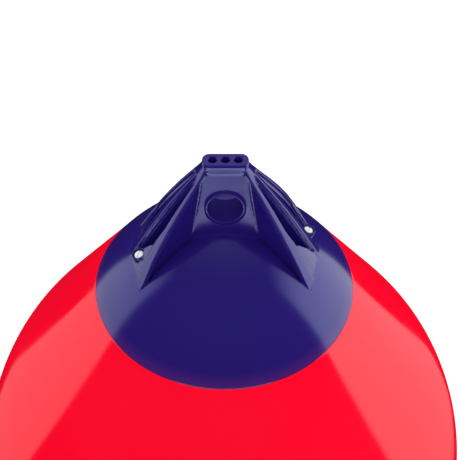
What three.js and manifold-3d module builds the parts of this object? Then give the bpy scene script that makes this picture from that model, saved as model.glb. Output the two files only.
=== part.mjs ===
import * as THREE from 'three';
import { mergeVertices } from 'three/addons/utils/BufferGeometryUtils.js';
import Module from 'manifold-3d';

const { sin, cos, tan, asin, sqrt, hypot, min, max, PI } = Math;
const degrees = THREE.MathUtils.degToRad;
const lerp = THREE.MathUtils.lerp;
const wasm = await Module();
wasm.setup();

// Inflatable ball fender: a red vinyl float with a blue rope hold moulded over its crown
// Millimetres, +Z up, origin in the middle of the rope eye, which runs along Y

// Float, whose crown starts below the rope eye: 914 mm long with the head
const ballDiameter = 686;
const crownBelowEye = 36;
const shoulderSlope = degrees(54.5);
const crownRadius = 254;
const tipReach = 30;
const tipSlope = degrees(20);
const roundSides = 72;

// Skin of the rope hold, thick under the ribs and thin at its edge
const skinReach = 155;
const skinAtEdge = 2.2;
const skinAtRibs = 8;
const seatGap = 0.3;

// Head and tower that carry the eye
const eyeBelowTop = 58;
const headWidth = 50;
const headDepth = 22;
const headCorner = 8;
const headRound = 2.5;
const headHeight = 13;
const neckWidth = 49;
const neckDepth = 19.6;
const towerFootBelowEye = 47;
const towerFootWidth = 82;
const towerFootDepth = 37;
const towerFlare = 0.6;
const towerCorner = 1.5;

// Rope eye with a rolled lip round each mouth, and the blind cores in the head
const eyeBore = 37;
const lipWidth = 4.4;
const coreBore = 9.3;
const corePitch = 13.65;
const coreDepth = 26;

// Ribs, three to a side, and the capped crest that runs down from the head to the crown
const crestTopReach = 27;
const crestTopBelowHead = 13;
const crestBlend = 7;
const crestFootReach = 110;
const crestBulge = 3.5;
const crestCap = 4;
const footFillet = 3;
const ribSpread = degrees(32.3);
const ribStartOut = 23.3;
const ribStartAside = 12.1;
const ribHalfAtTop = 3;
const capOverhang = 3.5;
const footGroove = 2.5;

// Pockets between the ribs, stepped down to a ledge before they drop to the crown
// Their corners are measured back from the foot of the ribs, and aside
const pocketLedge = 2.2;
const pocketTip = [7, 7.2];
const pocketShoulder = [17.5, 16.5];
const pocketHeel = [33, 30];
const pocketWaist = [44, 28.5];

// Land that carries the valve, a step lower than the ribs, beyond the pockets
const landDrop = 1.5;
const landTurn = degrees(25.3);

// Air valves, one on each side, half a turn apart, each in a collar that goes through the skin
const valveBeforeFoot = 10.5;
const valveTurn = degrees(11);
const valveTilt = degrees(18);
const collarBore = 13.4;
const collarWall = 1.4;
const collarRise = 3;
const bossWall = 2;
const screwSunk = 1.6;
const valveFlange = 2.2;
const valveStem = 9;
const valveStemLength = 10;
const screwHead = 10.8;
const screwHeadHeight = 3.4;
const screwChamfer = 0.8;
const screwShank = 5;
const screwShankLength = 8;
const slotWidth = 1.6;
const slotDepth = 1.7;

// A closed mesh becomes a solid once its shared vertices are merged
function solid(geometry) {
  const bare = geometry.clone();
  bare.deleteAttribute('normal');
  bare.deleteAttribute('uv');
  const merged = mergeVertices(bare, 1e-4);
  const corners = merged.index.array;
  const faces = [];
  for (let i = 0; i < corners.length; i += 3) {
    const [a, b, c] = [corners[i], corners[i + 1], corners[i + 2]];
    if (a !== b && b !== c && c !== a) {
      faces.push(a, b, c);
    }
  }
  const vertProperties = Float32Array.from(merged.attributes.position.array);
  const triVerts = Uint32Array.from(faces);
  return new wasm.Manifold(new wasm.Mesh({ numProp: 3, vertProperties, triVerts }));
}

function meshOf(name, body, material) {
  const { vertProperties, triVerts } = body.getMesh();
  const geometry = new THREE.BufferGeometry();
  geometry.setAttribute('position', new THREE.BufferAttribute(vertProperties, 3));
  geometry.setIndex(new THREE.BufferAttribute(triVerts, 1));
  geometry.computeVertexNormals();
  const mesh = new THREE.Mesh(geometry, material);
  mesh.name = name;
  return mesh;
}

// Points of radius and height, listed from the top down, turned about Z
function turned(points, sides = roundSides) {
  const outline = points.map(([r, z]) => new THREE.Vector2(max(r, 0), z)).reverse();
  return new THREE.LatheGeometry(outline, sides).rotateX(PI / 2);
}

// A plan outline, given anticlockwise, raised from one height to another
function raised(plan, from, to) {
  const shape = new THREE.Shape(plan.map(([x, y]) => new THREE.Vector2(x, y)));
  const options = { depth: to - from, bevelEnabled: false };
  return solid(new THREE.ExtrudeGeometry(shape, options).translate(0, 0, from));
}

// Crown outline: a small tip arc, a long side arc, then a straight cone that meets the ball
const ballRadius = ballDiameter / 2;
const tipRadius = tipReach / sin(tipSlope);
const tipCentreZ = -crownBelowEye - tipRadius;
const sideCentre = [
  tipReach - crownRadius * sin(tipSlope),
  tipCentreZ - (crownRadius - tipRadius) * cos(tipSlope),
];
const coneTopReach = sideCentre[0] + crownRadius * sin(shoulderSlope);
const coneTopZ = sideCentre[1] + crownRadius * cos(shoulderSlope);
const coneFootReach = ballRadius * sin(shoulderSlope);
const coneFootZ = coneTopZ - (coneFootReach - coneTopReach) * tan(shoulderSlope);
const ballCentre = coneFootZ - ballRadius * cos(shoulderSlope);
const headTop = eyeBelowTop;
const wellBelow = ballCentre;

function crownAt(reach) {
  if (reach < tipReach) {
    const slope = asin(reach / tipRadius);
    return { z: tipCentreZ + tipRadius * cos(slope), slope };
  }
  if (reach < coneTopReach) {
    const slope = asin((reach - sideCentre[0]) / crownRadius);
    return { z: sideCentre[1] + crownRadius * cos(slope), slope };
  }
  return { z: coneTopZ - (reach - coneTopReach) * tan(shoulderSlope), slope: shoulderSlope };
}

// The crown moved inward along its own normal
function underCrown(reach, depth) {
  const { z, slope } = crownAt(reach);
  return [reach - depth * sin(slope), z - depth * cos(slope)];
}

function skinThickness(reach) {
  const share = (skinReach - reach) / (skinReach - crestFootReach);
  return lerp(skinAtEdge, skinAtRibs, min(max(share, 0), 1));
}

const skinSteps = 8;
const skinReaches = [0, tipReach / 2];
for (let step = 0; step <= skinSteps; step++) {
  skinReaches.push(lerp(tipReach, skinReach, step / skinSteps));
}

// Float: one sealed body, sunk under the skin so that the moulding lies flush
function floatBody() {
  const stepReach = skinReach + seatGap * cos(shoulderSlope);
  const points = skinReaches.map((reach) => underCrown(reach, skinThickness(reach) + seatGap));
  points.push(underCrown(stepReach, skinAtEdge + seatGap));
  points.push([stepReach, crownAt(stepReach).z]);
  const stepsAbove = 5;
  const stepsBelow = 11;
  for (let step = -stepsAbove; step <= stepsBelow; step++) {
    const upper = lerp(PI / 2, shoulderSlope, -step / stepsAbove);
    const angle = step < 0 ? upper : lerp(PI / 2, PI, step / stepsBelow);
    points.push([ballRadius * sin(angle), ballCentre + ballRadius * cos(angle)]);
  }
  let ball = solid(turned(points));
  for (const half of [0, 1]) {
    ball = ball.subtract(solid(atValve(valveWell, half)));
  }
  return ball;
}

function skinBody() {
  const outer = skinReaches.map((reach) => [reach, crownAt(reach).z]);
  const inner = skinReaches.map((reach) => underCrown(reach, skinThickness(reach)));
  return solid(turned([...outer, ...inner.reverse()]));
}

// Everything below the skin's inner face, to trim what the tower and ribs leave there
function coreBody() {
  const inner = skinReaches.map((reach) => underCrown(reach, skinThickness(reach)));
  return solid(turned([...inner, [skinReach, wellBelow], [0, wellBelow]]));
}

// A block with round corners and edges, whose half sizes change with height
function block(from, to, corner, round, steps, half) {
  const [wide, deep] = half(to);
  const [x, y, r] = [wide - round, deep - round, corner - round];
  const shape = new THREE.Shape();
  shape.absarc(x - r, y - r, r, 0, PI / 2);
  shape.absarc(r - x, y - r, r, PI / 2, PI);
  shape.absarc(r - x, r - y, r, PI, PI * 1.5);
  shape.absarc(x - r, r - y, r, PI * 1.5, PI * 2);
  const geometry = new THREE.ExtrudeGeometry(shape, {
    depth: to - from - 2 * round,
    steps,
    curveSegments: 4,
    bevelEnabled: round > 0,
    bevelThickness: round,
    bevelSize: round,
    bevelSegments: 3,
  });
  geometry.translate(0, 0, from + round);
  const place = geometry.attributes.position;
  for (let i = 0; i < place.count; i++) {
    const [halfX, halfY] = half(place.getZ(i));
    place.setX(i, place.getX(i) * halfX / wide);
    place.setY(i, place.getY(i) * halfY / deep);
  }
  return solid(geometry);
}

// The tower widens towards its foot, faster lower down
const neckZ = headTop - headHeight;

function towerHalf(z) {
  const share = max(neckZ - z, 0) / (neckZ + towerFootBelowEye);
  const flared = share * lerp(1, share, towerFlare);
  return [lerp(neckWidth, towerFootWidth, flared) / 2, lerp(neckDepth, towerFootDepth, share) / 2];
}

// Head and tower: a round-cornered block on a leaning, flared shaft
function towerBody() {
  const head = block(neckZ - headRound, headTop, headCorner, headRound, 1, (z) => {
    const share = min(max((z - neckZ) / headHeight, 0), 1);
    return [lerp(neckWidth, headWidth, share) / 2, lerp(neckDepth, headDepth, share) / 2];
  });
  return head.add(block(-towerFootBelowEye, neckZ, towerCorner, 0, 6, towerHalf));
}

// Crest line in a radial plane: a shallow arc from the head to the crown
const crestTop = [crestTopReach, headTop - crestTopBelowHead];
const crestFoot = [crestFootReach, crownAt(crestFootReach).z];
const crestChord = hypot(crestFoot[0] - crestTop[0], crestFoot[1] - crestTop[1]);
const crestRadius = (crestChord ** 2 / 4 + crestBulge ** 2) / (2 * crestBulge);
const crestAcross = [
  (crestTop[1] - crestFoot[1]) / crestChord,
  (crestFoot[0] - crestTop[0]) / crestChord,
];
const crestCentre = [0, 1].map(
  (k) => (crestTop[k] + crestFoot[k]) / 2 - crestAcross[k] * (crestRadius - crestBulge),
);

function crestZ(reach, sunk = 0) {
  return crestCentre[1] + sqrt((crestRadius - sunk) ** 2 - (reach - crestCentre[0]) ** 2);
}

// The body that the ribs are cut from, which blends into the head above and the crown below
// Sunk, it bounds what lies under the ribs' caps, and the land
function crestBody(sunk) {
  const curve = (from, by, to) => new THREE.QuadraticBezierCurve(
    ...[from, by, to].map(([r, z]) => new THREE.Vector2(r, z)),
  ).getPoints(4).map(({ x, y }) => [x, y]);
  const first = crestTopReach + crestBlend;
  const last = crestFootReach - footFillet;
  const end = crestFootReach + footFillet;
  const inside = headWidth / 2 - headRound;
  const points = [[0, headTop - headRound - sunk]];
  points.push(...curve(
    [inside, headTop - headRound - sunk],
    [crestTopReach, crestZ(crestTopReach, sunk)],
    [first, crestZ(first, sunk)],
  ));
  const crestSteps = 6;
  for (let step = 1; step < crestSteps; step++) {
    const reach = lerp(first, last, step / crestSteps);
    points.push([reach, crestZ(reach, sunk)]);
  }
  points.push(...curve(
    [last, crestZ(last, sunk)],
    [crestFootReach, crestZ(crestFootReach, sunk)],
    [end, crownAt(end).z - seatGap - sunk],
  ));
  points.push([end, wellBelow], [0, wellBelow]);
  return solid(turned(points));
}

// A point set off from the open edge of an outer rib, along it and outward from it
function besideRib(along, out) {
  return [
    ribStartOut + along * cos(ribSpread) - out * sin(ribSpread),
    ribStartAside + along * sin(ribSpread) + out * cos(ribSpread),
  ];
}

// An outline moved inward by the same distance along every edge
function inset(plan, distance) {
  return plan.map((point, i) => {
    const before = plan[(i + plan.length - 1) % plan.length];
    const after = plan[(i + 1) % plan.length];
    const a = [point[0] - before[0], point[1] - before[1]];
    const b = [after[0] - point[0], after[1] - point[1]];
    const [la, lb] = [hypot(...a), hypot(...b)];
    const na = [-a[1] / la, a[0] / la];
    const nb = [-b[1] / lb, b[0] / lb];
    const spread = 1 + na[0] * nb[0] + na[1] * nb[1];
    return [
      point[0] + distance * (na[0] + nb[0]) / spread,
      point[1] + distance * (na[1] + nb[1]) / spread,
    ];
  });
}

const mirrored = (plan) => plan.map(([x, y]) => [x, -y]).reverse();

// Open recess beside an outer rib's web, under the overhang of its cap
const ribLength = crestFootReach;
const ribInside = -12;

function recess(beyond) {
  return [
    besideRib(ribInside, -capOverhang),
    besideRib(ribLength, -capOverhang),
    besideRib(ribLength, beyond),
    besideRib(ribInside, beyond),
  ];
}

// Ribs of the +X side: a wedge of the crest body, undercut along both outer ribs, pocketed
// between them and lowered beyond the pockets to the valve's land
function ribBody() {
  const underCap = crestBody(crestCap);
  const edge = [besideRib(ribInside, 0), besideRib(ribLength, 0)];
  const wedge = [...mirrored(edge).reverse(), ...[...edge].reverse()];
  let ribs = crestBody(0).intersect(raised(wedge, wellBelow, headTop));
  const [tip, shoulder, heel, waist] = [pocketTip, pocketShoulder, pocketHeel, pocketWaist].map(
    ([back, aside]) => [crestFootReach - back, aside],
  );
  const pocket = [
    [tipReach, ribHalfAtTop],
    tip,
    shoulder,
    heel,
    waist,
    besideRib((tipReach - ribStartOut) / cos(ribSpread), -2 * ribHalfAtTop),
  ];
  const landEnd = heel[0] + ribLength;
  const landAside = heel[1] + ribLength * tan(landTurn);
  const land = [tip, [landEnd, tip[1]], [landEnd, landAside], heel, [heel[0], tip[1]]];
  const landBody = crestBody(landDrop);
  for (const side of [(plan) => plan, mirrored]) {
    const strip = raised(side(recess(ribLength)), wellBelow, headTop).intersect(underCap);
    const mouth = raised(side(pocket), wellBelow, headTop).subtract(underCap);
    const well = raised(side(inset(pocket, pocketLedge)), wellBelow, headTop);
    const step = raised(side(land), wellBelow, headTop).subtract(landBody);
    ribs = ribs.subtract(strip).subtract(mouth).subtract(well).subtract(step);
  }
  return ribs;
}

// Groove sunk in the skin along the foot of each open recess
function grooves() {
  const within = skinReaches.filter((reach) => reach < crestFootReach);
  const over = within.map((reach) => [reach, crownAt(reach).z + footGroove]);
  const under = within.map((reach) => underCrown(reach, footGroove));
  const layer = solid(turned([...over, ...under.reverse()]));
  const strip = recess(0);
  let cut = null;
  for (const side of [(plan) => plan, mirrored]) {
    const piece = raised(side(strip), wellBelow, headTop).intersect(layer);
    cut = cut ? cut.add(piece) : piece;
  }
  return cut.add(cut.rotate([0, 0, 180]));
}

// Frame of the +X valve: on the land, tilted outward from the upright
const valveReach = crestFootReach - valveBeforeFoot;
const valveFrame = new THREE.Matrix4()
  .makeRotationZ(valveTurn)
  .multiply(new THREE.Matrix4().makeTranslation(valveReach, 0, crestZ(valveReach, landDrop)))
  .multiply(new THREE.Matrix4().makeRotationY(valveTilt));

function atValve(geometry, half) {
  const turn = new THREE.Matrix4().makeRotationZ(half * PI);
  return geometry.clone().applyMatrix4(turn.multiply(valveFrame));
}

// Down each valve's axis: collar, plug with its flange and stem, and the screw that closes it
const collarTop = collarRise;
const collarOuter = collarBore / 2 + collarWall;
const flangeTop = collarTop - screwSunk - screwHeadHeight - seatGap;
const stemTop = flangeTop - valveFlange;
const stemFoot = stemTop - valveStemLength;
const shankFoot = flangeTop - screwShankLength;
const bossFoot = stemFoot - seatGap - bossWall;
const screwTop = collarTop - screwSunk;
const boreSides = 20;

function plain(radius, from, to) {
  return turned([[0, from], [radius, from], [radius, to], [0, to]], boreSides);
}

const collar = plain(collarOuter, collarTop, bossFoot);
const spotFace = plain(collarOuter, collarTop - bossFoot, collarTop);
const valveWell = plain(collarOuter + seatGap, collarTop, bossFoot - seatGap);
const valveSeat = turned([
  [0, collarTop + seatGap],
  [collarBore / 2, collarTop + seatGap],
  [collarBore / 2, stemTop - seatGap],
  [valveStem / 2 + seatGap, stemTop - seatGap],
  [valveStem / 2 + seatGap, stemFoot - seatGap],
  [0, stemFoot - seatGap],
], boreSides);
const valveBody = turned([
  [screwShank / 2 + seatGap, flangeTop],
  [collarBore / 2 - seatGap, flangeTop],
  [collarBore / 2 - seatGap, stemTop],
  [valveStem / 2, stemTop],
  [valveStem / 2, stemFoot],
  [0, stemFoot],
  [0, shankFoot - seatGap],
  [screwShank / 2 + seatGap, shankFoot - seatGap],
  [screwShank / 2 + seatGap, flangeTop],
], boreSides);
const screwBlank = turned([
  [0, screwTop],
  [screwHead / 2 - screwChamfer, screwTop],
  [screwHead / 2, screwTop - screwChamfer],
  [screwHead / 2, screwTop - screwHeadHeight],
  [screwShank / 2, screwTop - screwHeadHeight],
  [screwShank / 2, shankFoot],
  [0, shankFoot],
], boreSides);
const screwSlot = new THREE.BoxGeometry(screwHead + collarWall, slotWidth, 2 * slotDepth)
  .translate(0, 0, screwTop);

// Eye: a bore along Y, and the rolled lip on each leaning face
const eyeSides = 32;

function eyeWay() {
  const bore = new THREE.CylinderGeometry(eyeBore / 2, eyeBore / 2, 2 * towerFootDepth, eyeSides);
  return solid(bore);
}

function eyeLip(half) {
  const [, faceY] = towerHalf(0);
  const lean = Math.atan2(faceY - towerHalf(eyeBore)[1], eyeBore);
  const lip = new THREE.TorusGeometry((eyeBore + lipWidth) / 2 - seatGap, lipWidth / 2, 8, eyeSides);
  lip.rotateX(PI / 2 - lean).translate(0, -faceY, 0).rotateZ(half * PI);
  return solid(lip);
}

function headCore(index) {
  const core = new THREE.CylinderGeometry(coreBore / 2, coreBore / 2, coreDepth * 2, boreSides);
  return solid(core.rotateX(PI / 2).translate(index * corePitch, 0, headTop));
}

function ropeHold() {
  const ribs = ribBody();
  let hold = towerBody().add(ribs).add(ribs.rotate([0, 0, 180]));
  for (const half of [0, 1]) {
    hold = hold.subtract(solid(atValve(spotFace, half))).add(eyeLip(half));
  }
  hold = hold.subtract(coreBody()).add(skinBody().subtract(grooves())).subtract(eyeWay());
  for (const half of [0, 1]) {
    hold = hold.add(solid(atValve(collar, half))).subtract(solid(atValve(valveSeat, half)));
  }
  for (const index of [-1, 0, 1]) {
    hold = hold.subtract(headCore(index));
  }
  return hold;
}

const redVinyl = new THREE.MeshStandardMaterial({ color: 0xfa0b35, roughness: 0.18, metalness: 0 });
const blueVinyl = new THREE.MeshStandardMaterial({ color: 0x2c2170, roughness: 0.28, metalness: 0 });
const valveRubber = new THREE.MeshStandardMaterial({ color: 0x1c1a4a, roughness: 0.5, metalness: 0 });
const whiteNylon = new THREE.MeshStandardMaterial({ color: 0xf4f4f0, roughness: 0.35, metalness: 0 });

const fender = new THREE.Group();
fender.add(meshOf('ball_body', floatBody(), redVinyl));
fender.add(meshOf('rope_hold', ropeHold(), blueVinyl));
for (const [half, side] of [[0, 'back'], [1, 'front']]) {
  const screw = solid(atValve(screwBlank, half)).subtract(solid(atValve(screwSlot, half)));
  fender.add(meshOf(`valve_body_${side}`, solid(atValve(valveBody, half)), valveRubber));
  fender.add(meshOf(`valve_screw_${side}`, screw, whiteNylon));
}

export default fender;
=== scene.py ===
import math
import bmesh
import bpy
from mathutils import Matrix, Vector


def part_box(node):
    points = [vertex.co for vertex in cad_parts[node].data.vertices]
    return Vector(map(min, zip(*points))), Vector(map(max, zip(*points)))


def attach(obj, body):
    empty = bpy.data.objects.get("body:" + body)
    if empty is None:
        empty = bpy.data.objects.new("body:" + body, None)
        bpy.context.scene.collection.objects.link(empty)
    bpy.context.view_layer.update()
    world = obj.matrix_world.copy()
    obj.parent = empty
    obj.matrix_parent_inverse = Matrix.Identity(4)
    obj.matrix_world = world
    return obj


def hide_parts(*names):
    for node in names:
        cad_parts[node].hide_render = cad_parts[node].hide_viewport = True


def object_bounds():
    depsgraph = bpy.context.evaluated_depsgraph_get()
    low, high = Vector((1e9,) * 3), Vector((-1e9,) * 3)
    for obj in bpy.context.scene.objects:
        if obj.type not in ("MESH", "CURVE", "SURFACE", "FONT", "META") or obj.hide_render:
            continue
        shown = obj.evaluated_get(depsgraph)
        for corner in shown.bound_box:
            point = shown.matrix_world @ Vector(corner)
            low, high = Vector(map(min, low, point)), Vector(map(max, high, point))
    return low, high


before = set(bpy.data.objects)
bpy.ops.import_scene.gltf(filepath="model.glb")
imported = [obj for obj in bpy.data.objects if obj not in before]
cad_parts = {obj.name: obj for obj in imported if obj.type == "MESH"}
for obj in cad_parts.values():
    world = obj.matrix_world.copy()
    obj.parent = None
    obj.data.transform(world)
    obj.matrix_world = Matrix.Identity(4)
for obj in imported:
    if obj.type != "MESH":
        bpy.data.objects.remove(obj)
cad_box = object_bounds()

# Camera
# The photo looks down on the crown from the front, 47 degrees above the horizon and a metre
# away. A 70 mm lens on a 36 mm sensor gives its frame of 460 by 460 pixels.
mm = 0.001
camera_place = Vector((-7.4, -696.9, 698.6)) * mm
camera_aim = Vector((5.7, -5.1, -45.0)) * mm
camera_roll = math.radians(0.78)
focal_pixels = 900
frame_pixels = 460


def linked(name, data):
    thing = bpy.data.objects.new(name, data)
    bpy.context.scene.collection.objects.link(thing)
    return thing


lens = bpy.data.cameras.new("photo_camera")
lens.sensor_width = 36
lens.lens = lens.sensor_width * focal_pixels / frame_pixels
camera = linked("photo_camera", lens)
camera.location = camera_place
looking = (camera_aim - camera_place).to_track_quat("-Z", "Y")
camera.rotation_mode = "QUATERNION"
camera.rotation_quaternion = looking @ Matrix.Rotation(camera_roll, 3, "Z").to_quaternion()
bpy.context.scene.camera = camera

# Room
# A white backdrop and a pale floor, lit by a white sky that brightens overhead. Two tall softboxes
# stand beside the fender and a low sweep in front of it. Dim studio walls, seen in reflections
# alone, keep the vinyl's colour deep.
sky_at_horizon, sky_overhead = 0.62, 1.42
floor_pale = 0.7
floor_glow = 0.5
wall_reach = 6.0
wall_dim, wall_bright = 0.01, 0.5
up_and_behind = (0, 0.707, 0.707)
softbox_reach = 3.0
softbox_low, softbox_high = -3.2, 3.4
left_softbox = (-88, -127)
right_softbox = (77, 132)
front_sweep = (-38, 38)
sweep_low, sweep_high = -6.0, -1.1
left_strength, right_strength, sweep_strength = 1.3, 1.9, 2.5
floor_level = cad_box[0].z


def linear(code):
    channels = [int(code[i:i + 2], 16) / 255 for i in (1, 3, 5)]
    return [c / 12.92 if c <= 0.04045 else ((c + 0.055) / 1.055) ** 2.4 for c in channels] + [1]


def add_node(tree, kind, settings=None, inputs=None):
    made = tree.nodes.new(kind)
    for key, value in (settings or {}).items():
        setattr(made, key, value)
    for key, value in (inputs or {}).items():
        if isinstance(value, bpy.types.NodeSocket):
            tree.links.new(value, made.inputs[key])
        else:
            made.inputs[key].default_value = value
    return made


def blank_material(name):
    material = bpy.data.materials.new(name)
    material.use_nodes = True
    material.node_tree.nodes.clear()
    return material, material.node_tree


def background_rays(tree):
    path = add_node(tree, "ShaderNodeLightPath")
    seen = add_node(tree, "ShaderNodeMath", {"operation": "MAXIMUM"},
                    {0: path.outputs["Is Camera Ray"], 1: path.outputs["Is Glossy Ray"]})
    seen = add_node(tree, "ShaderNodeMath", {"operation": "MAXIMUM"},
                    {0: seen.outputs[0], 1: path.outputs["Is Transmission Ray"]})
    return seen.outputs[0]


world = bpy.data.worlds.new("white_sky")
bpy.context.scene.world = world
world.use_nodes = True
sky = world.node_tree
sky.nodes.clear()
upward = add_node(sky, "ShaderNodeSeparateXYZ", inputs={
    0: add_node(sky, "ShaderNodeTexCoord").outputs["Generated"]})
sky_share = add_node(sky, "ShaderNodeMapRange", inputs={
    "Value": upward.outputs["Z"], "To Min": sky_at_horizon, "To Max": sky_overhead})
lit = add_node(sky, "ShaderNodeBackground", inputs={"Strength": sky_share.outputs[0]})
white = add_node(sky, "ShaderNodeBackground", inputs={"Strength": 1.0})
for shader in (lit, white):
    shader.inputs["Color"].default_value = (1, 1, 1, 1)
mixed = add_node(sky, "ShaderNodeMixShader",
                 inputs={0: background_rays(sky), 1: lit.outputs[0], 2: white.outputs[0]})
add_node(sky, "ShaderNodeOutputWorld", inputs={"Surface": mixed.outputs[0]})


def finished(name, sculpt, smooth=True):
    data = bpy.data.meshes.new(name)
    sculpt.to_mesh(data)
    sculpt.free()
    for face in data.polygons:
        face.use_smooth = smooth
    return linked(name, data)


floor_mesh = bmesh.new()
bmesh.ops.create_circle(floor_mesh, cap_ends=True, segments=96, radius=wall_reach * 2)
bmesh.ops.translate(floor_mesh, verts=floor_mesh.verts, vec=(0, 0, floor_level))
floor = finished("floor", floor_mesh, smooth=False)
floor_paint, tree = blank_material("pale_floor")
matt = add_node(tree, "ShaderNodeBsdfDiffuse", inputs={"Color": (floor_pale,) * 3 + (1,)})
dim = add_node(tree, "ShaderNodeMath", {"operation": "MULTIPLY"},
               {0: background_rays(tree), 1: floor_glow})
glow = add_node(tree, "ShaderNodeEmission", inputs={"Strength": dim.outputs[0]})
both = add_node(tree, "ShaderNodeAddShader", inputs={0: matt.outputs[0], 1: glow.outputs[0]})
add_node(tree, "ShaderNodeOutputMaterial", inputs={"Surface": both.outputs[0]})
floor.data.materials.append(floor_paint)
floor.visible_glossy = False

wall_mesh = bmesh.new()
bmesh.ops.create_uvsphere(wall_mesh, u_segments=48, v_segments=24, radius=wall_reach)
walls = finished("studio_walls", wall_mesh)
wall_paint, tree = blank_material("dim_studio_walls")
place = add_node(tree, "ShaderNodeTexCoord")
behind = add_node(tree, "ShaderNodeVectorMath", {"operation": "DOT_PRODUCT"},
                  {0: place.outputs["Object"], 1: up_and_behind})
share = add_node(tree, "ShaderNodeMapRange", {"interpolation_type": "SMOOTHSTEP"},
                 {"Value": behind.outputs["Value"], "From Min": wall_reach * 0.4,
                  "From Max": wall_reach, "To Min": wall_dim, "To Max": wall_bright})
dull = add_node(tree, "ShaderNodeEmission", inputs={"Strength": share.outputs[0]})
add_node(tree, "ShaderNodeOutputMaterial", inputs={"Surface": dull.outputs[0]})
walls.data.materials.append(wall_paint)


def softbox(name, edges, strength, low=softbox_low, high=softbox_high, full=0.6, foot=0.35):
    sculpt = bmesh.new()
    corners = []
    for azimuth, z in ((edges[0], low), (edges[1], low), (edges[1], high), (edges[0], high)):
        angle = math.radians(azimuth)
        spot = (softbox_reach * math.sin(angle), -softbox_reach * math.cos(angle), z)
        corners.append(sculpt.verts.new(spot))
    sculpt.faces.new(corners)
    panel = finished(name, sculpt, smooth=False)
    paint, tree = blank_material(name)
    place = add_node(tree, "ShaderNodeTexCoord")
    height = add_node(tree, "ShaderNodeSeparateXYZ", inputs={0: place.outputs["Object"]})
    fade = add_node(tree, "ShaderNodeMapRange", {"interpolation_type": "SMOOTHSTEP"},
                    {"Value": height.outputs["Z"], "From Min": high,
                     "From Max": low + (high - low) * full, "To Min": 0.0, "To Max": strength})
    sink = add_node(tree, "ShaderNodeMapRange", inputs={
        "Value": height.outputs["Z"], "From Min": low, "From Max": low + (high - low) * 0.5,
        "To Min": foot, "To Max": 1.0})
    level = add_node(tree, "ShaderNodeMath", {"operation": "MULTIPLY"},
                     {0: fade.outputs[0], 1: sink.outputs[0]})
    shine = add_node(tree, "ShaderNodeEmission", inputs={"Strength": level.outputs[0]})
    add_node(tree, "ShaderNodeOutputMaterial", inputs={"Surface": shine.outputs[0]})
    panel.data.materials.append(paint)
    return panel


panels = [softbox("left_softbox", left_softbox, left_strength),
          softbox("right_softbox", right_softbox, right_strength, foot=0.25),
          softbox("front_sweep", front_sweep, sweep_strength, sweep_low, sweep_high,
                  full=0.85, foot=1.0)]
for thing in (walls, *panels):
    thing.visible_camera = False
    thing.visible_diffuse = thing is not walls
    thing.visible_transmission = False
    thing.visible_shadow = False

# Ball
# One hollow of soft PVC, turned in a rotating mould and blown up until its wall is drum tight.
# The skin is glassy but never quite even, so the edge of a lamp in it wavers.
ball_radius = (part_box("ball_body")[1].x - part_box("ball_body")[0].x) / 2
ball_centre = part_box("ball_body")[0].z + ball_radius
shoulder_slope = math.radians(54.5)
crown_radius = 254 * mm
tip_reach = 30 * mm
tip_slope = math.radians(20)
skin_reach = 155 * mm
skin_at_edge = 2.2 * mm
skin_at_ribs = 8 * mm
rib_reach = 110 * mm
seat_gap = 0.3 * mm
vinyl_ior = 1.53

tip_radius = tip_reach / math.sin(tip_slope)
cone_foot = (ball_radius * math.sin(shoulder_slope),
             ball_centre + ball_radius * math.cos(shoulder_slope))
cone_top_reach = tip_reach + crown_radius * (math.sin(shoulder_slope) - math.sin(tip_slope))
cone_top_z = cone_foot[1] + (cone_foot[0] - cone_top_reach) * math.tan(shoulder_slope)
side_centre = (tip_reach - crown_radius * math.sin(tip_slope),
               cone_top_z - crown_radius * math.cos(shoulder_slope))
tip_centre_z = side_centre[1] + (crown_radius - tip_radius) * math.cos(tip_slope)


def crown(reach, lift=0.0):
    if reach < tip_reach:
        slope = math.asin(reach / tip_radius)
        z = tip_centre_z + tip_radius * math.cos(slope)
    elif reach < cone_top_reach:
        slope = math.asin((reach - side_centre[0]) / crown_radius)
        z = side_centre[1] + crown_radius * math.cos(slope)
    else:
        slope = shoulder_slope
        z = cone_top_z - (reach - cone_top_reach) * math.tan(slope)
    return (reach + lift * math.sin(slope), z + lift * math.cos(slope))


def skin_thickness(reach):
    share = min(max((skin_reach - reach) / (skin_reach - rib_reach), 0), 1)
    return skin_at_edge + (skin_at_ribs - skin_at_edge) * share


def spun(name, outline, sides, closed=False):
    sculpt = bmesh.new()
    points = [sculpt.verts.new((max(r, 0), 0, z)) for r, z in outline]
    pairs = list(zip(points, points[1:])) + ([(points[-1], points[0])] if closed else [])
    edges = [sculpt.edges.new(pair) for pair in pairs]
    bmesh.ops.spin(sculpt, geom=points + edges, cent=(0, 0, 0), axis=(0, 0, 1),
                   angle=2 * math.pi, steps=sides, use_merge=True)
    bmesh.ops.remove_doubles(sculpt, verts=sculpt.verts, dist=0.01 * mm)
    bmesh.ops.recalc_face_normals(sculpt, faces=sculpt.faces)
    return finished(name, sculpt)


def steps(first, last, count):
    return [first + (last - first) * i / count for i in range(count + 1)]


ball_sides = 192
edge_reach = skin_reach + seat_gap * math.cos(shoulder_slope)
ball_line = [crown(r, -skin_thickness(r) - seat_gap) for r in steps(0, skin_reach, 30)]
ball_line.append(crown(edge_reach, -skin_at_edge - seat_gap))
ball_line.append(crown(edge_reach, -0.4 * mm))
ball_line.append(crown(edge_reach + 0.4 * mm))
ball_line += [crown(r) for r in steps(edge_reach + 2 * mm, cone_foot[0], 24)]
for angle in steps(shoulder_slope, math.pi, 84)[1:]:
    ball_line.append((ball_radius * math.sin(angle), ball_centre + ball_radius * math.cos(angle)))
ball = spun("ball", ball_line, ball_sides)
ball.data.set_sharp_from_angle(angle=math.radians(35))

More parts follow.
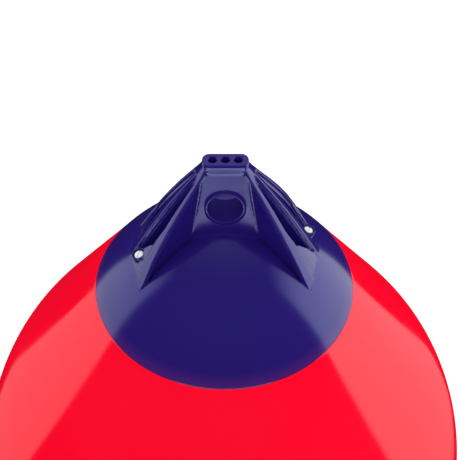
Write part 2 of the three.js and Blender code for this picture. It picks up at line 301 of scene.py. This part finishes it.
# Glossy red PVC. Its index is raised above vinyl's own and a plain diffuse is mixed in, to reach
# the photo's bright bands.
red_ior = 2.0
pigment_share = 0.6
red_vinyl, tree = blank_material("red_blown_vinyl")
place = add_node(tree, "ShaderNodeTexCoord").outputs["Object"]
uneven = add_node(tree, "ShaderNodeTexNoise", inputs={
    "Vector": place, "Scale": 1 / (90 * mm), "Detail": 1.5, "Roughness": 0.4})
ripple = add_node(tree, "ShaderNodeBump", inputs={
    "Height": uneven.outputs[0], "Distance": 0.35 * mm, "Strength": 1.0})
cloud = add_node(tree, "ShaderNodeTexNoise", inputs={
    "Vector": place, "Scale": 1 / (160 * mm), "Detail": 3.0})
gloss = add_node(tree, "ShaderNodeMapRange", inputs={
    "Value": cloud.outputs[0], "From Min": 0.3, "From Max": 0.7, "To Min": 0.09, "To Max": 0.14})
tint = add_node(tree, "ShaderNodeMix", {"data_type": "RGBA"}, {
    "Factor": cloud.outputs[0], "A": linear("#fd0028"), "B": linear("#ff022c")})
skin = add_node(tree, "ShaderNodeBsdfPrincipled", inputs={
    "Base Color": tint.outputs[2], "Roughness": gloss.outputs[0], "IOR": red_ior,
    "Normal": ripple.outputs[0]})
pigment = add_node(tree, "ShaderNodeBsdfDiffuse", inputs={"Color": tint.outputs[2]})
deep = add_node(tree, "ShaderNodeMixShader", inputs={
    0: pigment_share, 1: skin.outputs[0], 2: pigment.outputs[0]})
add_node(tree, "ShaderNodeOutputMaterial", inputs={"Surface": deep.outputs[0]})
ball.data.materials.append(red_vinyl)
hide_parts("ball_body")
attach(ball, "root")

# Rope hold
# A thick cap of blue PVC, moulded in one piece over the crown: skin, tower with the rope eye,
# cored head and ribs. Its edges are as soft as the mould that it was poured in.
grain = 0.6 * mm
soften_rounds = 30
faces_kept = 0.12
skin_proud = 0.25 * mm
buried = 4 * mm
works_reach = 120 * mm
rib_spread = math.radians(32.3)
rib_start = (23.3 * mm, 12.1 * mm)
cap_overhang = 3.5 * mm
foot_groove = 2.5 * mm
groove_start, groove_end = -12 * mm, 86 * mm
cap_deep = 4 * mm
lip_radius = 0.9 * mm
lip_from, lip_to = 12 * mm, 88 * mm
lip_stations = 16
crest_swell = 7 * mm
swell_from, swell_to = 34 * mm, 107 * mm
valve_reach = rib_reach - 10.5 * mm
valve_turn = math.radians(11)
valve_tilt = math.radians(18)
land_drop = 1.5 * mm
collar_bore = 6.7 * mm
collar_outer = 8.1 * mm
collar_top = 3 * mm
collar_foot = -17 * mm
collar_ledge = -4.8 * mm
collar_throat = 4.8 * mm
clearing_top, clearing_foot = 20 * mm, -16.9 * mm
mould_crease = math.radians(66)


def settled(thing):
    bpy.context.view_layer.update()
    graph = bpy.context.evaluated_depsgraph_get()
    data = bpy.data.meshes.new_from_object(thing.evaluated_get(graph))
    thing.modifiers.clear()
    thing.data = data
    return thing


def carved(thing, tool, operation):
    change = thing.modifiers.new(operation, "BOOLEAN")
    change.operation = operation
    change.solver = "MANIFOLD"
    change.object = tool
    settled(thing)
    bpy.data.objects.remove(tool)
    return thing


def crest(reach, sunk=0.0):
    return crest_centre[1] + math.sqrt((crest_radius - sunk) ** 2 - (reach - crest_centre[0]) ** 2)


crest_top = Vector((27 * mm, 45 * mm))
crest_foot = Vector((rib_reach, crown(rib_reach)[1]))
crest_bulge = 3.5 * mm
chord = crest_foot - crest_top
crest_radius = (chord.length ** 2 / 4 + crest_bulge ** 2) / (2 * crest_bulge)
crest_across = Vector((-chord.y, chord.x)).normalized()
crest_centre = (crest_top + crest_foot) / 2 - crest_across * (crest_radius - crest_bulge)


def swell(x, y):
    reach = math.hypot(x, y)
    share = (reach - swell_from) / (swell_to - swell_from)
    if not 0 < share < 1 or x * y < 0:
        return 0
    aside = abs(y) / reach / math.sin(rib_spread)
    return crest_swell * share ** 2 * (1 - share) * 27 / 4 * aside ** 2


works_mesh = bmesh.new()
works_mesh.from_mesh(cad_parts["rope_hold"].data)
bmesh.ops.remove_doubles(works_mesh, verts=works_mesh.verts, dist=0.001 * mm)
for vert in works_mesh.verts:
    reach = math.hypot(vert.co.x, vert.co.y)
    if swell_from < reach < swell_to:
        low = crown(reach)[1]
        height = min(max((vert.co.z - low) / (crest(reach) - low), 0), 1)
        vert.co.z += height * swell(vert.co.x, vert.co.y)
hold = finished("rope_hold_moulding", works_mesh)
top_of_all = cad_box[1].z + 20 * mm
keep_line = [crown(r, -buried) for r in steps(0, works_reach, 24)]
keep_line += [(works_reach, top_of_all), (0, top_of_all)]
carved(hold, spun("above_the_skin", keep_line, 96), "INTERSECT")
remesh = hold.modifiers.new("soft_mould", "REMESH")
remesh.mode = "VOXEL"
remesh.voxel_size = grain
remesh.use_smooth_shade = True
soften = hold.modifiers.new("soft_edges", "SMOOTH")
soften.factor = 0.5
soften.iterations = soften_rounds
thin_out = hold.modifiers.new("fewer_faces", "DECIMATE")
thin_out.ratio = faces_kept
settled(hold)

skin_line = [crown(r, skin_proud) for r in steps(0, skin_reach - 0.8 * mm, 64)]
skin_line += [crown(skin_reach - 0.2 * mm, skin_proud * 0.6), crown(skin_reach, -0.5 * mm)]
skin_line += [crown(r, -skin_thickness(r)) for r in reversed(steps(0, skin_reach, 24))]
cap_skin = spun("cap_skin", skin_line, 240)


def beside_rib(along, out, side, half):
    x = rib_start[0] + along * math.cos(rib_spread) - out * math.sin(rib_spread)
    y = rib_start[1] + along * math.sin(rib_spread) + out * math.cos(rib_spread)
    return (x * half, y * side * half)


for half in (1, -1):
    for side in (1, -1):
        groove = bmesh.new()
        plan = [beside_rib(groove_start, -cap_overhang, side, half),
                beside_rib(groove_end, -cap_overhang, side, half),
                beside_rib(groove_end, 0, side, half),
                beside_rib(groove_start, 0, side, half)]
        foot = groove.faces.new([groove.verts.new((x, y, -0.3)) for x, y in plan])
        raised = bmesh.ops.extrude_face_region(groove, geom=[foot])
        tops = [v for v in raised["geom"] if isinstance(v, bmesh.types.BMVert)]
        bmesh.ops.translate(groove, verts=tops, vec=(0, 0, 0.5))
        bmesh.ops.recalc_face_normals(groove, faces=groove.faces)
        channel = finished("groove", groove)
        under_line = [crown(r, -foot_groove) for r in steps(0, works_reach, 24)]
        under_line += [(works_reach, -0.4), (0, -0.4)]
        carved(channel, spun("under_groove", under_line, 96), "DIFFERENCE")
        carved(cap_skin, channel, "DIFFERENCE")
carved(hold, cap_skin, "UNION")

# A thin lip runs down the edge of each slanting rib's cap. It is a guess at a light line there.
for half in (1, -1):
    for side in (1, -1):
        wire = bpy.data.curves.new("rib_lip", "CURVE")
        wire.dimensions = "3D"
        wire.bevel_depth = lip_radius
        wire.bevel_resolution = 3
        wire.use_fill_caps = True
        line = wire.splines.new("POLY")
        stations = steps(lip_from, lip_to, lip_stations)
        line.points.add(len(stations) - 1)
        for point, along in zip(line.points, stations):
            x, y = beside_rib(along, lip_radius * 0.1, side, half)
            reach = math.hypot(x, y)
            point.co = (x, y, crest(reach, cap_deep) + swell(x, y), 1)
        wire_thing = linked("rib_lip_line", wire)
        bpy.context.view_layer.update()
        lip_mesh = bpy.data.meshes.new_from_object(wire_thing)
        bpy.data.objects.remove(wire_thing)
        lip = bmesh.new()
        lip.from_mesh(lip_mesh)
        bmesh.ops.remove_doubles(lip, verts=lip.verts, dist=0.01 * mm)
        bmesh.ops.recalc_face_normals(lip, faces=lip.faces)
        carved(hold, finished("rib_lip", lip), "UNION")

valve_seat = (Matrix.Rotation(valve_turn, 4, "Z")
              @ Matrix.Translation((valve_reach, 0, crest(valve_reach, land_drop)))
              @ Matrix.Rotation(valve_tilt, 4, "Y"))
valve_places = {"back": valve_seat, "front": Matrix.Rotation(math.pi, 4, "Z") @ valve_seat}


def at_valve(thing, side):
    thing.data.transform(valve_places[side])
    return thing


collar_line = [(collar_bore, collar_top - 0.5 * mm)]
collar_line += [(collar_bore + 0.7 * mm - 0.7 * mm * math.cos(angle),
                 collar_top - 0.5 * mm + 0.5 * mm * math.sin(angle))
                for angle in steps(0, math.pi, 8)[1:-1]]
collar_line += [(collar_outer, collar_top - 0.5 * mm), (collar_outer + 0.1 * mm, -2 * mm),
                (collar_outer + 0.1 * mm, collar_foot), (collar_throat, collar_foot),
                (collar_throat, collar_ledge), (collar_bore, collar_ledge)]
clearing_line = [(0, clearing_top), (collar_outer, clearing_top), (collar_outer, clearing_foot),
                 (0, clearing_foot)]
for side in valve_places:
    carved(hold, at_valve(spun("clearing", clearing_line, 64), side), "DIFFERENCE")
    carved(hold, at_valve(spun("collar", collar_line, 64, closed=True), side), "UNION")
for face in hold.data.polygons:
    face.use_smooth = True
hold.data.set_sharp_from_angle(angle=mould_crease)

# Glossy blue PVC with a raised, blue-tinted specular, redder at its thin edge. The photo shows the
# eye's bore nearly black, so inside the bore the specular is turned almost off and roughened:
# painted shade for the dark inside of the rope eye.
rim_from, rim_to = 144 * mm, 155 * mm
bore_from, bore_to = 18.8 * mm, 20.5 * mm
skin_roughness, bore_roughness = 0.17, 0.5
skin_specular, bore_shade_specular = 0.85, 0.04
blue_sheen = (0.55, 0.6, 1.0, 1)
blue_vinyl, tree = blank_material("blue_moulded_vinyl")
place = add_node(tree, "ShaderNodeTexCoord").outputs["Object"]
flat = add_node(tree, "ShaderNodeVectorMath", {"operation": "MULTIPLY"},
                {0: place, 1: (1, 1, 0)})
reach = add_node(tree, "ShaderNodeVectorMath", {"operation": "LENGTH"}, {0: flat.outputs[0]})
thin = add_node(tree, "ShaderNodeMapRange", {"interpolation_type": "SMOOTHSTEP"}, {
    "Value": reach.outputs["Value"], "From Min": rim_from, "From Max": rim_to,
    "To Min": 0.0, "To Max": 1.0})
tint = add_node(tree, "ShaderNodeMix", {"data_type": "RGBA"}, {
    "Factor": thin.outputs[0], "A": linear("#23126c"), "B": linear("#44196c")})
uneven = add_node(tree, "ShaderNodeTexNoise", inputs={
    "Vector": place, "Scale": 1 / (60 * mm), "Detail": 1.5})
ripple = add_node(tree, "ShaderNodeBump", inputs={
    "Height": uneven.outputs[0], "Distance": 0.25 * mm, "Strength": 1.0})
round_eye = add_node(tree, "ShaderNodeVectorMath", {"operation": "MULTIPLY"},
                     {0: place, 1: (1, 0, 1)})
from_eye = add_node(tree, "ShaderNodeVectorMath", {"operation": "LENGTH"},
                    {0: round_eye.outputs[0]})
# Mask of the rope eye's bore, where the specular is turned almost off as painted shade
bore_painted_shade = add_node(tree, "ShaderNodeMapRange", {"interpolation_type": "SMOOTHSTEP"}, {
    "Value": from_eye.outputs["Value"], "From Min": bore_from, "From Max": bore_to,
    "To Min": 1.0, "To Max": 0.0})
roughness = add_node(tree, "ShaderNodeMapRange", inputs={
    "Value": bore_painted_shade.outputs[0], "To Min": skin_roughness, "To Max": bore_roughness})
specular = add_node(tree, "ShaderNodeMapRange", inputs={
    "Value": bore_painted_shade.outputs[0], "To Min": skin_specular, "To Max": bore_shade_specular})
skin = add_node(tree, "ShaderNodeBsdfPrincipled", inputs={
    "Base Color": tint.outputs[2], "Roughness": roughness.outputs[0], "IOR": vinyl_ior,
    "Specular IOR Level": specular.outputs[0], "Specular Tint": blue_sheen,
    "Normal": ripple.outputs[0]})
add_node(tree, "ShaderNodeOutputMaterial", inputs={"Surface": skin.outputs[0]})
hold.data.materials.clear()
hold.data.materials.append(blue_vinyl)
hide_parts("rope_hold")
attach(hold, "root")

# Air valves
# Each is a rubber plug pressed into a collar of the moulding, closed by a slotted screw of white
# nylon. Both are round, so each is spun from its outline. One sits beside the left ribs in front,
# the other beside the right ribs at the back.
screw_sunk = 1.6 * mm
flange_below_screw = 3.7 * mm
screw_top = collar_top - screw_sunk
flange_top = screw_top - flange_below_screw
slot_turn = math.radians(60)
slot_size = (14 * mm, 1.6 * mm, 3.4 * mm)
valve_crease = math.radians(40)
plug_line = [(2.8, 0), (6.2, 0), (6.35, -0.15), (6.4, -0.4), (6.4, -2.2), (4.5, -2.2),
             (4.5, -11.9), (4.2, -12.2), (0, -12.2), (0, -8.3), (2.8, -8.3)]
screw_line = [(0, 0), (4.4, 0), (4.75, -0.05), (5.05, -0.2), (5.3, -0.5), (5.4, -0.9), (5.4, -3.2),
              (5.2, -3.4), (2.5, -3.4), (2.5, -11.5), (2.3, -11.7), (0, -11.7)]


def painted(name, code, rough, ior, fleck, depth):
    material, tree = blank_material(name)
    place = add_node(tree, "ShaderNodeTexCoord").outputs["Object"]
    speck = add_node(tree, "ShaderNodeTexNoise", inputs={
        "Vector": place, "Scale": 1 / fleck, "Detail": 3.0, "Roughness": 0.6})
    relief = add_node(tree, "ShaderNodeBump", inputs={
        "Height": speck.outputs[0], "Distance": depth, "Strength": 1.0})
    worn = add_node(tree, "ShaderNodeMapRange", inputs={
        "Value": speck.outputs[0], "From Min": 0.3, "From Max": 0.7,
        "To Min": rough * 0.85, "To Max": rough * 1.15})
    shade = add_node(tree, "ShaderNodeMix", {"data_type": "RGBA", "blend_type": "MULTIPLY"}, {
        "Factor": 0.12, "A": linear(code), "B": speck.outputs[1]})
    skin = add_node(tree, "ShaderNodeBsdfPrincipled", inputs={
        "Base Color": shade.outputs[2], "Roughness": worn.outputs[0], "IOR": ior,
        "Normal": relief.outputs[0]})
    add_node(tree, "ShaderNodeOutputMaterial", inputs={"Surface": skin.outputs[0]})
    return material


# Satin black-blue rubber, and white nylon with the faint mottle of a moulded screw
rubber = painted("valve_rubber", "#1c1a4a", 0.42, 1.52, 1.2 * mm, 0.02 * mm)
nylon = painted("white_nylon", "#f6f6f2", 0.32, 1.53, 2.5 * mm, 0.01 * mm)
for side in valve_places:
    plug = spun("valve_plug", [(r * mm, z * mm + flange_top) for r, z in plug_line], 64, closed=True)
    screw = spun("valve_screw", [(r * mm, z * mm + screw_top) for r, z in screw_line], 64)
    slot_mesh = bmesh.new()
    bmesh.ops.create_cube(slot_mesh, size=1.0)
    bmesh.ops.scale(slot_mesh, verts=slot_mesh.verts, vec=slot_size)
    bmesh.ops.rotate(slot_mesh, verts=slot_mesh.verts, cent=(0, 0, 0),
                     matrix=Matrix.Rotation(slot_turn, 3, "Z"))
    bmesh.ops.translate(slot_mesh, verts=slot_mesh.verts, vec=(0, 0, screw_top))
    carved(screw, finished("slot", slot_mesh, smooth=False), "DIFFERENCE")
    for thing, paint, node, slot in ((plug, rubber, "valve_body_", "valve_rubber"),
                                     (screw, nylon, "valve_screw_", "white_nylon")):
        thing.data.set_sharp_from_angle(angle=valve_crease)
        at_valve(thing, side)
        thing.data.materials.clear()
        thing.data.materials.append(paint)
        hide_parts(node + side)
        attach(thing, "root")

# Colour view: the plain Standard transform
bpy.context.scene.view_settings.view_transform = "Standard"
